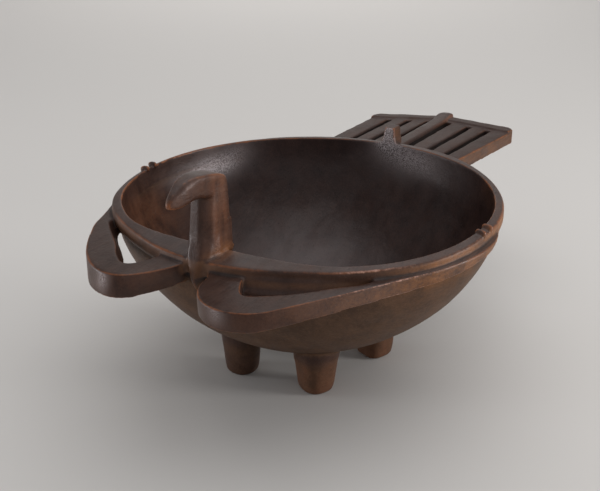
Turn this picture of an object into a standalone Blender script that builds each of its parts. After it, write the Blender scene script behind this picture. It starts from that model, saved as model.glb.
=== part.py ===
"""A footed wooden bowl carved as a bird: head and wings at the front, slatted tail behind.

Metres, +Z up, resting on z = 0.  The head points along -Y, the tail along +Y and the bird's
left wing is at +X.  Every shape is laid out about the bowl's own upright axis; one empty then
moves the whole bird so that the frame's origin is the bottom centre of its bounding box.
Each carved feature is a separate solid that seats on its neighbours with a tenon in a socket.
"""

from math import acos, atan2, cos, degrees, exp, log, pi, radians, sin

import bmesh
import bpy
from mathutils import Matrix, Vector

GAP = 0.0003              # clearance left between neighbouring solids

# bowl
RIM_RADIUS = 0.180
RIM_TOP = 0.180
RIM_BAND = 0.015          # height of the raised band round the mouth
RIM_SLOPE = 0.002         # outward fall of the rim's top face
SEAM_Z = 0.162            # joint between the vessel and the rim
LIP = 0.0075              # width of the rim's top face at the sides
BOTTOM_Z = 0.0236         # lowest point of the vessel's outside
FLOOR_Z = 0.037           # lowest point of the vessel's inside
FRONT_CHORD = 0.154       # distance from the axis to the flat inner face under the neck
CHORD_BLEND = 0.008
SEGMENTS = 64
# The mouth is a little out of round: (degrees from the head, share of the radius, spread).
SWELLS = ((62, 0.018, 16), (-53, 0.020, 16), (150, 0.026, 22), (-115, -0.014, 30), (-26, -0.012, 10))

# wings
WING_TOP = 0.1706
WING_TIP = Vector((0.0549, -0.1881))
WING_TIP_RADIUS = 0.0410
RIDGE_RADIUS = 0.1881     # the wing runs on round the side as a low ridge of this radius
WING_UNDERSIDE = 0.1535   # height of the underside at the wing's front
WING_RISE = 0.040         # rise of the underside per unit of length towards the tail
WING_ROOT = (0.0115, -0.1840)
RIDGE_FADE = 0.0130       # how far the ridge sinks into the wall at its end
RIDGE_ENDS = {"left": 15, "right": -16}     # degrees round from +X where each ridge dies away
BURIED_RADIUS = 0.1674    # the wing's plan is closed by an arc inside the wall of the bowl
BURIED_START = -84        # degrees round from +X
WING_TENON = (0.018, 0.016, 0.005)
WING_TENON_PLACE = (10, 0.177, 0.1672)      # degrees from the head, radius, height

# head and neck
NECK_WIDTH = 0.0225
NECK_FRONT = -0.1815
NECK_BACK = -0.1490
BEAK_UNDER = 0.2310       # height of the underside of the head
HEAD_TOP = 0.2490
BEAK_TIP = -0.2115
NECK_TENON = (0.010, 0.014, 0.016)
NECK_TENON_Y = -0.1665
HEAD_TENON = (0.008, 0.010, 0.010)
HEAD_TENON_Y = -0.1600

# tail
TAIL_TOP = 0.1705         # height of its top face where it leaves the rim
TAIL_LENGTH = 0.1775
TAIL_THICKNESS = 0.0155
TAIL_HALF_WIDTH = 0.0810
TAIL_FLARE = 0.045
TAIL_CORNER = 0.1515      # distance from the rim to the outer corners of the end
TAIL_PITCH = -0.045
TAIL_ROLL = -0.020
END_BAR_WIDTH = 0.0205
END_BAR_HEIGHT = 0.0036
RIB_REACH = 0.1835        # distance from the rim to the end of the rib
SLOT_START = 0.012        # distance from the rim to the near end of each slot
# Far end (x, y), lean and width of each slot on the +X side; the other side mirrors it.
TAIL_SLOTS = ((0.0130, 0.1580, 0.02, 0.0068), (0.0390, 0.1480, 0.015, 0.0056),
              (0.0648, 0.1415, 0.05, 0.0054))
TAIL_TENON = (0.060, 0.012, 0.0045)
TAIL_TENON_PLACE = (0, 0.1812, 0.1665)

# small rounded bars across the rim, in degrees from the head
BAR_STARTS = {"left": 84.0, "right": 79.5}
BAR_SPACING = 4.6
BAR_RADIUS = 0.1762       # distance from the axis to each bar's middle
BAR_HALF_LENGTH = 0.0048
BAR_HALF_WIDTH = 0.0030
BAR_HEIGHT = 0.0036

# tab standing on the rim above the tail: height, half width, front and back of each section
LUG_SECTIONS = ((0.1803, 0.0085, 0.1722, 0.1795), (0.1880, 0.0064, 0.1728, 0.1795),
                (0.1962, 0.0054, 0.1735, 0.1795))

# feet
FEET = {
    "front_left": Vector((0.0366, -0.0495)), "front_right": Vector((-0.0437, -0.0570)),
    "rear_left": Vector((0.0550, 0.0370)), "rear_right": Vector((-0.0490, 0.0380)),
}
FOOT_SOLE_RADIUS = 0.0168
FOOT_TOP_RADIUS = 0.0235
FOOT_EASE = 0.0022        # rounding between the sole and the sides
ROUND, SQUARED = 2.4, 4.0               # squareness of a foot's section
TENON_RADIUS = 0.0050
TENON_DEPTH = 0.0035

WING_REACH = WING_TIP_RADIUS - WING_TIP.y
BOWL_Y = (WING_REACH - RIM_RADIUS - RIB_REACH) / 2


def clear_scene():
    for obj in list(bpy.data.objects):
        bpy.data.objects.remove(obj, do_unlink=True)


def wood(name, colour, roughness):
    material = bpy.data.materials.new(name)
    material.use_nodes = True
    shader = material.node_tree.nodes["Principled BSDF"]
    shader.inputs["Base Color"].default_value = (*colour, 1)
    shader.inputs["Roughness"].default_value = roughness
    shader.inputs["Metallic"].default_value = 0
    material.diffuse_color = (*colour, 1)
    return material


def add_object(name, bm, smooth_angle=None):
    bmesh.ops.recalc_face_normals(bm, faces=bm.faces)
    mesh = bpy.data.meshes.new(name)
    bm.to_mesh(mesh)
    bm.free()
    if smooth_angle is not None:
        mesh.shade_smooth()
        mesh.set_sharp_from_angle(angle=radians(smooth_angle))
    obj = bpy.data.objects.new(name, mesh)
    bpy.context.scene.collection.objects.link(obj)
    obj.parent = assembly
    return obj


def finish(obj, colour, roughness=0.5):
    obj.data.materials.clear()
    obj.data.materials.append(wood(obj.name, colour, roughness))
    return obj


def as_cutter(obj):
    obj.hide_render = True
    obj.display_type = "WIRE"
    return obj


def boolean(obj, other, operation="DIFFERENCE"):
    modifier = obj.modifiers.new(f"{operation.lower()}_{other.name}", "BOOLEAN")
    modifier.operation = operation
    modifier.solver = "EXACT"
    modifier.object = as_cutter(other)


def bevel(obj, width, segments=2, angle=40):
    modifier = obj.modifiers.new("eased_edges", "BEVEL")
    modifier.width = width
    modifier.segments = segments
    modifier.limit_method = "ANGLE"
    modifier.angle_limit = radians(angle)
    modifier.use_clamp_overlap = True


def skin(bm, rings, wrap=False):
    """Joins successive rings of vertices with quads; wrap also joins the last to the first."""
    count = len(rings[0])
    pairs = list(zip(rings, rings[1:]))
    if wrap:
        pairs.append((rings[-1], rings[0]))
    for lower, upper in pairs:
        for i in range(count):
            j = (i + 1) % count
            bm.faces.new((lower[i], lower[j], upper[j], upper[i]))


def loft(name, sections, smooth_angle=None):
    """A closed solid through sections, each a list of points, with flat ends."""
    bm = bmesh.new()
    rings = [[bm.verts.new(point) for point in section] for section in sections]
    skin(bm, rings)
    bm.faces.new(rings[0])
    bm.faces.new(rings[-1])
    return add_object(name, bm, smooth_angle)


def plate(name, outline, bottom, top):
    """An upright-sided plate over a plan outline; bottom and top give z at (x, y)."""
    lower = [(x, y, bottom(x, y)) for x, y in outline]
    upper = [(x, y, top(x, y)) for x, y in outline]
    return loft(name, [lower, upper])


def block(name, size, centre, turn=0.0):
    """A rectangular block; turn is its rotation about the vertical."""
    bm = bmesh.new()
    bmesh.ops.create_cube(bm, size=1.0, matrix=Matrix.Diagonal((*size, 1)))
    obj = add_object(name, bm)
    obj.location = centre
    obj.rotation_euler.z = turn
    return obj


def grown(size, amount):
    """A block's size with amount added on every face."""
    return [side + 2 * amount for side in size]


def post(name, radius, bottom, top, centre):
    bm = bmesh.new()
    bmesh.ops.create_cone(
        bm, cap_ends=True, segments=16, radius1=radius, radius2=radius, depth=top - bottom
    )
    obj = add_object(name, bm, smooth_angle=30)
    obj.location = (centre[0], centre[1], (bottom + top) / 2)
    return obj


def swell(angle):
    """Share by which the rim's radius grows at an angle from the head."""
    total = 0.0
    for place, amount, spread in SWELLS:
        away = (degrees(angle) - place + 180) % 360 - 180
        total += amount * exp(-((away / spread) ** 2))
    return total


def turned(name, profile, radius_at=None, closed=True):
    """Turns a profile of (radius, z, is_inside) about the axis; a closed profile makes a ring."""
    bm = bmesh.new()
    rings = []
    for radius, z, inside in profile:
        ring = []
        for i in range(SEGMENTS):
            angle = 2 * pi * i / SEGMENTS
            r = radius_at(radius, z, angle) if radius_at and inside else radius
            r *= 1 + swell(angle) * (z / RIM_TOP) ** 2
            ring.append(bm.verts.new((r * sin(angle), -r * cos(angle), z)))
        rings.append(ring)
    skin(bm, rings, wrap=closed)
    if not closed:
        bm.faces.new(rings[0])
        bm.faces.new(rings[-1])
    return add_object(name, bm, smooth_angle=30)


# ---------------------------------------------------------------- the bowl's two turned forms

def outer_radius(z):
    """Outside of the vessel: a slightly squared quarter ellipse."""
    depth = (RIM_TOP - z) / (RIM_TOP - BOTTOM_Z)
    return 0.997 * RIM_RADIUS * max(0.0, 1 - depth**2.034) ** (1 / 1.557)


def inner_radius(z):
    depth = (RIM_TOP - z) / (RIM_TOP - FLOOR_Z)
    return (RIM_RADIUS - LIP) * max(0.0, 1 - depth**2.1) ** (1 / 1.6)


def thick_front(radius, z, angle):
    """Inner radius at an angle from the head: a flat chord under the neck, blended in."""
    facing = cos(angle)
    if facing <= 0.05 or radius <= CHORD_BLEND:
        return radius
    chord = (FRONT_CHORD + 0.10 * (RIM_TOP - z)) / facing
    nearest = min(radius, chord)
    return nearest - CHORD_BLEND * log(
        exp((nearest - radius) / CHORD_BLEND) + exp((nearest - chord) / CHORD_BLEND)
    )


def depth_steps(lowest, highest, count):
    """Heights from highest to just above lowest, closer together towards the bottom."""
    return [lowest + (highest - lowest) * (1 - sin(pi / 2 * i / count)) for i in range(count)]


BAND_FOOT_Z = RIM_TOP - RIM_BAND
NECKED_RADIUS = outer_radius(SEAM_Z) - 0.0015
STEP_RADIUS = RIM_RADIUS - 0.0075
STEP_HEIGHT = 0.002

RIM_OUTSIDE = [
    (RIM_RADIUS - 0.0015, RIM_TOP - RIM_SLOPE + 0.0003),
    (RIM_RADIUS, RIM_TOP - RIM_SLOPE - 0.0014),
    (RIM_RADIUS + 0.0012, RIM_TOP - 0.45 * RIM_BAND),
    (RIM_RADIUS + 0.0004, BAND_FOOT_Z + 0.0016),
    (RIM_RADIUS - 0.0014, BAND_FOOT_Z),
    (NECKED_RADIUS, BAND_FOOT_Z - 0.0012),
]
VESSEL_HEIGHTS = depth_steps(BOTTOM_Z, SEAM_Z, 11)
FLOOR_HEIGHTS = depth_steps(FLOOR_Z, SEAM_Z, 9)


def vessel():
    outside = [(outer_radius(z), z, False) for z in reversed(VESSEL_HEIGHTS[1:])]
    brim = [
        (NECKED_RADIUS, SEAM_Z - GAP / 2, False),
        (STEP_RADIUS, SEAM_Z - GAP / 2, False),
        (STEP_RADIUS, SEAM_Z + STEP_HEIGHT - GAP / 2, False),
        (inner_radius(SEAM_Z + STEP_HEIGHT), SEAM_Z + STEP_HEIGHT - GAP / 2, True),
    ]
    inside = [(inner_radius(z), z, True) for z in FLOOR_HEIGHTS[1:]]
    return turned("bowl_vessel", outside + brim + inside, thick_front, closed=False)


def rim():
    outside = [(r, z, False) for r, z in reversed(RIM_OUTSIDE)]
    inside = [
        (RIM_RADIUS - LIP - 0.0004, RIM_TOP - 0.0003, True),
        (inner_radius(RIM_TOP - 0.0020), RIM_TOP - 0.0020, True),
        (inner_radius(RIM_TOP - 0.0080), RIM_TOP - 0.0080, True),
        (inner_radius(SEAM_Z + STEP_HEIGHT), SEAM_Z + STEP_HEIGHT + GAP / 2, True),
    ]
    step = [
        (STEP_RADIUS + GAP, SEAM_Z + STEP_HEIGHT + GAP / 2, False),
        (STEP_RADIUS + GAP, SEAM_Z + GAP / 2, False),
        (NECKED_RADIUS, SEAM_Z + GAP / 2, False),
    ]
    return turned("rim_band", step + outside + inside, thick_front)


def body_form(name):
    """The bowl's whole outside, grown by the gap, for fitting pieces against it."""
    below = [(outer_radius(z) + GAP, z - GAP, False) for z in reversed(VESSEL_HEIGHTS[1:])]
    band = [(NECKED_RADIUS + GAP, SEAM_Z, False)]
    band += [(r + GAP, z, False) for r, z in reversed(RIM_OUTSIDE)]
    band.append((RIM_RADIUS + GAP, RIM_TOP + 0.05, False))
    return as_cutter(turned(name, below + band, closed=False))


# ---------------------------------------------------------------- wings

def on_circle(centre, radius, angle):
    return (centre.x + radius * cos(angle), centre.y + radius * sin(angle))


def wing_outline(ridge_end):
    """Plan of a wing at +X: a belt round the ridge circle and the tip circle."""
    axis = Vector((0, 0))
    tip_angle = atan2(WING_TIP.y, WING_TIP.x)
    tangent = tip_angle + acos((RIDGE_RADIUS - WING_TIP_RADIUS) / WING_TIP.length)
    fade_start = tangent + 0.5 * (ridge_end - tangent)
    points = []
    for i in range(10):
        angle = ridge_end + (tangent - ridge_end) * i / 9
        fade = max(0.0, angle - fade_start) / (ridge_end - fade_start)
        radius = RIDGE_RADIUS - RIDGE_FADE * fade**1.5
        points.append(on_circle(axis, radius, angle))
    for i in range(1, 13):
        angle = tangent + (radians(-182) - tangent) * i / 12
        points.append(on_circle(WING_TIP, WING_TIP_RADIUS, angle))
    points.append(WING_ROOT)
    for i in range(9):
        angle = radians(BURIED_START) + (ridge_end - radians(BURIED_START)) * i / 8
        points.append(on_circle(axis, BURIED_RADIUS, angle))
    return points


def wing_opening():
    """The hole between the wing and the bowl, narrowing towards the shoulder."""
    corner = Vector((0.0630, -0.1940))
    round_corner = [on_circle(corner, 0.0080, radians(a)) for a in (205, 235, 265, 290)]
    return [(0.0415, -0.1600), (0.0440, -0.1800), *round_corner,
            (0.0780, -0.1870), (0.1120, -0.1520), (0.1290, -0.1330),
            (0.1340, -0.1180), (0.1150, -0.1000)]


def under_wing(_, y):
    return WING_UNDERSIDE + WING_RISE * (y + WING_REACH)


def wing(name, side, hand):
    """side is 1 for the left wing, at +X, and -1 for the right wing."""
    outline = [(side * x, y) for x, y in wing_outline(radians(RIDGE_ENDS[hand]))]
    opening = [(side * x, y) for x, y in wing_opening()]
    panel = plate(name, outline, under_wing, lambda x, y: WING_TOP)
    hole = plate(name + "_opening", opening,
                 lambda x, y: WING_TOP - 0.03, lambda x, y: WING_TOP + 0.01)
    boolean(panel, hole)
    bevel(panel, 0.0016)
    boolean(panel, body_form(name + "_fit"))
    boolean(panel, keel_form(name + "_keel_fit", GAP))
    return panel


def wing_tenon(name, side, grow=0.0):
    """Tongue at the wing's root, reaching into the thick front of the rim."""
    turn, reach, height = WING_TENON_PLACE
    angle = radians(turn)
    centre = (side * reach * sin(angle), -reach * cos(angle), height)
    return block(name, grown(WING_TENON, grow), centre, side * angle)


# ---------------------------------------------------------------- head, neck and keel

def rounded_section(half_width, front, back, z, tilt=0.0):
    """A slab-like section with eased corners, level or tilted along y."""
    ease = 0.28 * half_width
    corners = [
        (-half_width + ease, front), (half_width - ease, front),
        (half_width, front + 2 * ease), (half_width, back - ease),
        (half_width - ease, back), (-half_width + ease, back),
        (-half_width, back - ease), (-half_width, front + 2 * ease),
    ]
    return [(x, y, z + tilt * (y - back)) for x, y in corners]


def neck():
    half = NECK_WIDTH / 2
    sections = [
        rounded_section(half, NECK_FRONT + 0.0005, NECK_BACK, RIM_TOP + GAP),
        rounded_section(half * 0.97, NECK_FRONT + 0.0030, NECK_BACK + 0.0015, 0.190),
        rounded_section(half * 0.92, NECK_FRONT + 0.0065, NECK_BACK + 0.0028, 0.210),
        rounded_section(half * 0.88, NECK_FRONT + 0.0090, NECK_BACK + 0.0010, BEAK_UNDER - GAP),
    ]
    return loft("neck", sections)


def head():
    """Head and beak: upright sections from the nape to the hooked tip."""
    half = NECK_WIDTH / 2
    stations = [
        (-0.1480, 0.86, BEAK_UNDER, 0.2365),
        (-0.1500, 0.88, BEAK_UNDER, 0.2415),
        (-0.1540, 0.88, BEAK_UNDER, 0.2450),
        (-0.1650, 0.86, BEAK_UNDER, 0.2485),
        (-0.1760, 0.80, BEAK_UNDER, HEAD_TOP),
        (-0.1890, 0.66, BEAK_UNDER + 0.0035, HEAD_TOP - 0.0005),
        (-0.1990, 0.48, BEAK_UNDER + 0.0030, HEAD_TOP - 0.0030),
        (-0.2070, 0.28, BEAK_UNDER + 0.0015, HEAD_TOP - 0.0075),
        (BEAK_TIP, 0.12, BEAK_UNDER + 0.0005, HEAD_TOP - 0.0150),
    ]
    sections = []
    for y, share, low, high in stations:
        w = half * share
        shoulder = high - 0.28 * (high - low)
        sections.append([
            (-w, y, low + 0.0008), (-0.8 * w, y, low), (0.8 * w, y, low), (w, y, low + 0.0008),
            (w, y, shoulder), (0.72 * w, y, high), (-0.72 * w, y, high), (-w, y, shoulder),
        ])
    return loft("head_and_beak", sections)


def keel_form(name, grow=0.0):
    """Wedge that carries the neck's front edge down between the wing roots."""
    stations = [
        (RIM_TOP - 0.0005, 0.0110, -0.1835),
        (0.170, 0.0085, -0.1870),
        (0.160, 0.0055, -0.1860),
        (0.150, 0.0030, -0.1815),
        (0.143, 0.0010, -0.1760),
    ]
    sections = []
    for z, half, front in stations:
        w = half + grow
        sections.append([
            (-0.45 * w, front - grow, z), (0.45 * w, front - grow, z),
            (w, front + 0.006, z), (w, -0.150, z), (-w, -0.150, z), (-w, front + 0.006, z),
        ])
    return loft(name, sections)


# ---------------------------------------------------------------- tail

def tail_frame():
    return Matrix.Translation((0, RIM_RADIUS, TAIL_TOP)) @ Matrix.Rotation(
        TAIL_PITCH, 4, "X") @ Matrix.Rotation(TAIL_ROLL, 4, "Y")


def tail_edge(y):
    return TAIL_HALF_WIDTH + TAIL_FLARE * y


def tail_outline():
    ease = 0.006
    corner = tail_edge(TAIL_CORNER)
    right = [
        (tail_edge(-0.035), -0.035), (tail_edge(TAIL_CORNER - ease), TAIL_CORNER - ease),
        (corner - 0.3 * ease, TAIL_CORNER - 0.1 * ease),
        (corner - ease, TAIL_CORNER + 0.3 * ease),
    ]
    return right + [(0, TAIL_LENGTH)] + [(-x, y) for x, y in reversed(right)]


def tail():
    outline = tail_outline()
    panel = plate("tail_panel", outline, lambda x, y: -TAIL_THICKNESS, lambda x, y: 0.0)
    bevel(panel, 0.0014)
    panel.matrix_local = tail_frame()
    for side in (-1, 1):
        for number, (x, y, lean, width) in enumerate(TAIL_SLOTS):
            near = x - lean * (y - SLOT_START)
            corners = [(near - width / 2, SLOT_START), (near + width / 2, SLOT_START),
                       (x + width / 2, y), (x - width / 2, y)]
            slot = plate(f"slot_{side}_{number}", [(side * a, b) for a, b in corners],
                         lambda x, y: -0.03, lambda x, y: 0.02)
            slot.matrix_local = tail_frame()
            boolean(panel, slot)
    boolean(panel, body_form("tail_fit"))
    return panel


def tail_tongue(name, grow=0.0):
    return block(name, grown(TAIL_TENON, grow), TAIL_TENON_PLACE)


def end_bar(name, grow=0.0):
    """Raised chevron bar across the far end of the slats."""
    inner = TAIL_LENGTH - END_BAR_WIDTH - grow
    corner = tail_edge(TAIL_CORNER) - 0.0016
    fall = TAIL_LENGTH - TAIL_CORNER
    side = [(corner, TAIL_CORNER - END_BAR_WIDTH * 0.9 - grow), (corner, TAIL_CORNER - 0.0030),
            (corner - 0.0030, TAIL_CORNER - 0.0008)]
    tip = (0, TAIL_CORNER + fall - 0.0014)
    outline = side + [tip] + [(-x, y) for x, y in reversed(side)] + [(0, inner)]
    bar = plate(name, outline, lambda x, y: GAP - 3 * grow, lambda x, y: END_BAR_HEIGHT + grow)
    bevel(bar, 0.0009)
    bar.matrix_local = tail_frame()
    return bar


def rib_section(y, half, height, base):
    """Half-round section standing on the tail's top face."""
    count = 8
    return [(half * cos(pi * i / count), y, base + height * sin(pi * i / count))
            for i in range(count + 1)]


def rib():
    """Rounded rib along the middle slat, swelling to a blunt end over the end bar."""
    stations = [(0.010, 0.0060, 0.0022), (0.100, 0.0075, 0.0032), (0.150, 0.0085, 0.0050),
                (0.172, 0.0092, 0.0072), (0.180, 0.0088, 0.0070), (RIB_REACH, 0.0062, 0.0050)]
    sections = [rib_section(y, half, height, GAP) for y, half, height in stations]
    piece = loft("tail_rib", sections, 50)
    piece.matrix_local = tail_frame()
    boolean(piece, end_bar("rib_fit", GAP))
    return piece


# ---------------------------------------------------------------- small pieces on the rim

def rear_lug():
    """Upright tab on the rim above the tail, wider at its foot."""
    bm = bmesh.new()
    rings = []
    for z, half, front, back in LUG_SECTIONS:
        rings.append([bm.verts.new(p) for p in (
            (-half, front, z), (half, front, z), (half, back, z), (-half, back, z))])
    skin(bm, rings)
    bm.faces.new(rings[0])
    bm.faces.new(rings[-1])
    lug = add_object("rear_lug", bm)
    bevel(lug, 0.0009)
    return lug


def knob_bar(name, side, degrees_from_head):
    """A small rounded bar that crosses the rim."""
    angle = radians(degrees_from_head)
    base = RIM_TOP + GAP / 3
    sections = []
    for share in (-1, -0.7, 0, 0.7, 1):
        scale = (1 - 0.75 * share * share) ** 0.5
        half, height = BAR_HALF_WIDTH * scale, BAR_HEIGHT * scale
        sections.append([
            (BAR_HALF_LENGTH * share, half * cos(pi * i / 6), base + height * sin(pi * i / 6))
            for i in range(7)
        ])
    bar = loft(name, sections, 50)
    bar.location = (side * BAR_RADIUS * sin(angle), -BAR_RADIUS * cos(angle), 0)
    bar.rotation_euler.z = side * (angle - pi / 2)
    return bar


# ---------------------------------------------------------------- feet

def foot(name, centre, squareness):
    """Short tapered post; squareness 2 is round and higher values flatten its sides."""
    sections = []
    for z, radius in ((0.0, FOOT_SOLE_RADIUS - FOOT_EASE), (FOOT_EASE, FOOT_SOLE_RADIUS),
                      (0.022, 0.0182), (0.062, FOOT_TOP_RADIUS)):
        ring = []
        for i in range(20):
            angle = 2 * pi * (i + 0.5) / 20
            c, s = cos(angle), sin(angle)
            r = radius / (abs(c)**squareness + abs(s)**squareness) ** (1 / squareness)
            ring.append((r * c, 0.92 * r * s, z))
        sections.append(ring)
    leg = loft(name, sections, 35)
    leg.location = (centre.x, centre.y, 0)
    leg.rotation_euler.z = atan2(centre.y, centre.x) + radians(30)
    boolean(leg, body_form(name + "_fit"))
    return leg


def socket_height(centre):
    """Height of the vessel's outside above a foot's centre."""
    low, high = BOTTOM_Z, RIM_TOP
    for _ in range(40):
        middle = (low + high) / 2
        if outer_radius(middle) < centre.length:
            low = middle
        else:
            high = middle
    return (low + high) / 2


# ---------------------------------------------------------------- assembly

clear_scene()
assembly = bpy.data.objects.new("bird_bowl", None)
bpy.context.scene.collection.objects.link(assembly)
assembly.location = (0, BOWL_Y, 0)

DARK = (0.052, 0.034, 0.027)
RED_BROWN = (0.085, 0.043, 0.028)
TAN = (0.120, 0.070, 0.042)

bowl = finish(vessel(), DARK, 0.45)
rim_ring = finish(rim(), TAN, 0.45)

for place, centre in FEET.items():
    squareness = ROUND if place == "front_right" else SQUARED
    leg = finish(foot(f"foot_{place}", centre, squareness), RED_BROWN)
    top = socket_height(centre) + TENON_DEPTH
    boolean(leg, post(f"{leg.name}_tenon", TENON_RADIUS, 0.020, top, centre), "UNION")
    boolean(bowl, post(f"{leg.name}_socket", TENON_RADIUS + GAP, 0.0, top + GAP, centre))

for side, hand in ((-1, "right"), (1, "left")):
    panel = finish(wing(f"wing_{hand}", side, hand), DARK, 0.42)
    boolean(panel, wing_tenon(f"wing_{hand}_tongue", side), "UNION")
    boolean(rim_ring, wing_tenon(f"wing_{hand}_socket", side, GAP))
    for number in range(2):
        place = BAR_STARTS[hand] + BAR_SPACING * number
        finish(knob_bar(f"rim_bar_{hand}_{number + 1}", side, place), TAN)

tail_plate = finish(tail(), DARK, 0.5)
boolean(tail_plate, tail_tongue("tail_tongue"), "UNION")
boolean(rim_ring, tail_tongue("tail_socket", GAP))
finish(end_bar("tail_end_bar"), DARK)
finish(rib(), TAN)

neck_post = finish(neck(), RED_BROWN)
foot_of_neck = (0, NECK_TENON_Y, RIM_TOP)
boolean(neck_post, block("neck_tenon", NECK_TENON, foot_of_neck), "UNION")
boolean(rim_ring, block("neck_socket", grown(NECK_TENON, GAP), foot_of_neck))

skull = finish(head(), RED_BROWN)
top_of_neck = (0, HEAD_TENON_Y, BEAK_UNDER)
boolean(neck_post, block("head_tenon", HEAD_TENON, top_of_neck), "UNION")
boolean(skull, block("head_socket", grown(HEAD_TENON, GAP), top_of_neck))

keel = finish(keel_form("keel"), TAN)
boolean(keel, body_form("keel_fit"))

finish(rear_lug(), TAN)
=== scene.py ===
"""Looks of the carved bird bowl: one block of dark wood, cut by hand and worn at its edges.

The whole bird is carved as one continuous form, so that neck, wings, tail and feet flow out of
the bowl, and is then divided along the CAD's carved boundaries into one piece for each CAD node.
"""

from math import acos, atan2, cos, degrees, pi, radians, sin

import bmesh
import bpy
import numpy as np
from mathutils import Matrix, Vector
from mathutils.kdtree import KDTree


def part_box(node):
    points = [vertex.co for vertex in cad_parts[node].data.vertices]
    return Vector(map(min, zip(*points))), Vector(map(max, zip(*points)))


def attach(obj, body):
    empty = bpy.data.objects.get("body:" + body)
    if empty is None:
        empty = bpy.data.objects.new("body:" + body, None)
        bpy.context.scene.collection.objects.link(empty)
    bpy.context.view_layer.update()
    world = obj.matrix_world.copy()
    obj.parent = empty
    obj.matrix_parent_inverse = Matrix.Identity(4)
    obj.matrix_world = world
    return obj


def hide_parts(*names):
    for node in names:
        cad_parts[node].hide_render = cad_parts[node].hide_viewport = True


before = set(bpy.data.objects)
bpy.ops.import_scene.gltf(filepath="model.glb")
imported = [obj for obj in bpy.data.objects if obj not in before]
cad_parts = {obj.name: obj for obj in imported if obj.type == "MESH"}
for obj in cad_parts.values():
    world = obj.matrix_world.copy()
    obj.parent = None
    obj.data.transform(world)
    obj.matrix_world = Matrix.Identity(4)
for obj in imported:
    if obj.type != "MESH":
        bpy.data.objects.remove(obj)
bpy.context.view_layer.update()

# ---- proportions
# Everything below is a share of the rim's radius, measured from the foot of the bowl's axis,
# with the head towards -Y, the tail towards +Y and the bird's left wing at +X.

RADIUS = 0.180            # metres
WING_REACH = 1.2728
AXIS_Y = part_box("wing_left")[0].y + WING_REACH * RADIUS
RIM_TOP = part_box("rim_band")[1].z / RADIUS
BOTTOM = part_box("bowl_vessel")[0].z / RADIUS
FLOOR = 0.206             # height of the inside's lowest point
SEAM = 0.900              # height where the rim's band is divided from the vessel
LIP = 0.0415              # width of the rim's top
FRONT_CHORD = 0.857       # straight inner edge of the rim under the neck
CHORD_BLEND = 0.045
# The mouth is a little out of round: (degrees from the head, share of the radius, spread).
SWELLS = ((62, 0.018, 16), (-53, 0.020, 16), (160, 0.036, 25), (-115, -0.014, 30),
          (-26, -0.012, 10), (24, -0.018, 15))
SWELLS_INSIDE = ((60, 0.014, 20), (-60, 0.020, 18), (-92, 0.012, 16), (142, 0.016, 22),
                 (172, 0.006, 15), (-150, -0.020, 22), (24, -0.020, 15))

WING_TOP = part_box("wing_left")[1].z / RADIUS
WING_TIP = Vector((0.305, -1.045))
TIP_RADIUS = 0.2278
RIDGE_RADIUS = 1.045
UNDERSIDE = 0.853
UNDERSIDE_RISE = 0.040
RIDGE_END = 15            # degrees round from +X where the left wing's ridge dies away

VOXEL = 0.0011      # metres
FACES_KEPT = 0.30         # share of faces left when flat stretches are merged
ROUNDING_STEPS = 5
SPECK = 60                # bodies with fewer vertices are left out
CUT_MARGIN = 0.0046       # how far cuts round the bowl and over its rim stand off them
WELD = 1e-6               # points nearer than this, in metres, are one point


# ---- mesh helpers

def new_object(name, data):
    obj = bpy.data.objects.new(name, data)
    bpy.context.scene.collection.objects.link(obj)
    return obj


def solid(rings, wrap=False):
    """Closed mesh data through rings, an array of (ring, point, xyz); ends are capped."""
    rings = np.asarray(rings, float)
    count, around = rings.shape[:2]
    index = np.arange(count * around).reshape(count, around)
    if wrap:
        index = np.vstack([index, index[:1]])
    low, high = index[:-1], index[1:]
    quads = np.stack([low, np.roll(low, -1, 1), np.roll(high, -1, 1), high], -1).reshape(-1, 4)
    faces = quads.tolist()
    if not wrap:
        faces += [index[0][::-1].tolist(), index[-1].tolist()]
    mesh = bpy.data.meshes.new("form")
    mesh.from_pydata(rings.reshape(-1, 3).tolist(), [], faces)
    bm = bmesh.new()
    bm.from_mesh(mesh)
    bmesh.ops.recalc_face_normals(bm, faces=bm.faces)
    bm.to_mesh(mesh)
    bm.free()
    return new_object("form", mesh)


def spline(points, count, closed=False):
    """A Catmull-Rom curve through points, sampled at even steps of its length."""
    p = np.asarray(points, float)
    if closed:
        p = np.vstack([p[-1], p, p[0], p[1]])
    else:
        p = np.vstack([2 * p[0] - p[1], p, 2 * p[-1] - p[-2]])
    fine = []
    steps = np.linspace(0, 1, 24, endpoint=False)[:, None]
    for a, b, c, d in zip(p, p[1:], p[2:], p[3:]):
        fine.append(0.5 * (2 * b + (c - a) * steps + (2 * a - 5 * b + 4 * c - d) * steps**2
                           + (3 * b - a - 3 * c + d) * steps**3))
    fine = np.vstack(fine + ([] if closed else [p[-2:-1]]))
    if closed:
        fine = np.vstack([fine, fine[:1]])
    length = np.concatenate([[0], np.cumsum(np.linalg.norm(np.diff(fine, axis=0), axis=1))])
    at = np.linspace(0, length[-1], count, endpoint=not closed)
    return np.stack([np.interp(at, length, fine[:, k]) for k in range(p.shape[1])], 1)


# ---- the bowl

def swell(angle, swells=SWELLS):
    """Share by which the rim's radius grows at angles from the head, in radians."""
    total = 0.0 * angle
    for place, amount, spread in swells:
        away = (np.degrees(angle) - place + 180) % 360 - 180
        total = total + amount * np.exp(-((away / spread) ** 2))
    return total


def outer_radius(z):
    depth = np.clip((RIM_TOP - z) / (RIM_TOP - BOTTOM), 0, 1)
    groove = 0.017 * np.exp(-(((z - 0.897) / 0.026) ** 2))
    return 0.997 * (1 - depth**2.034) ** (1 / 1.557) - groove


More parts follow.
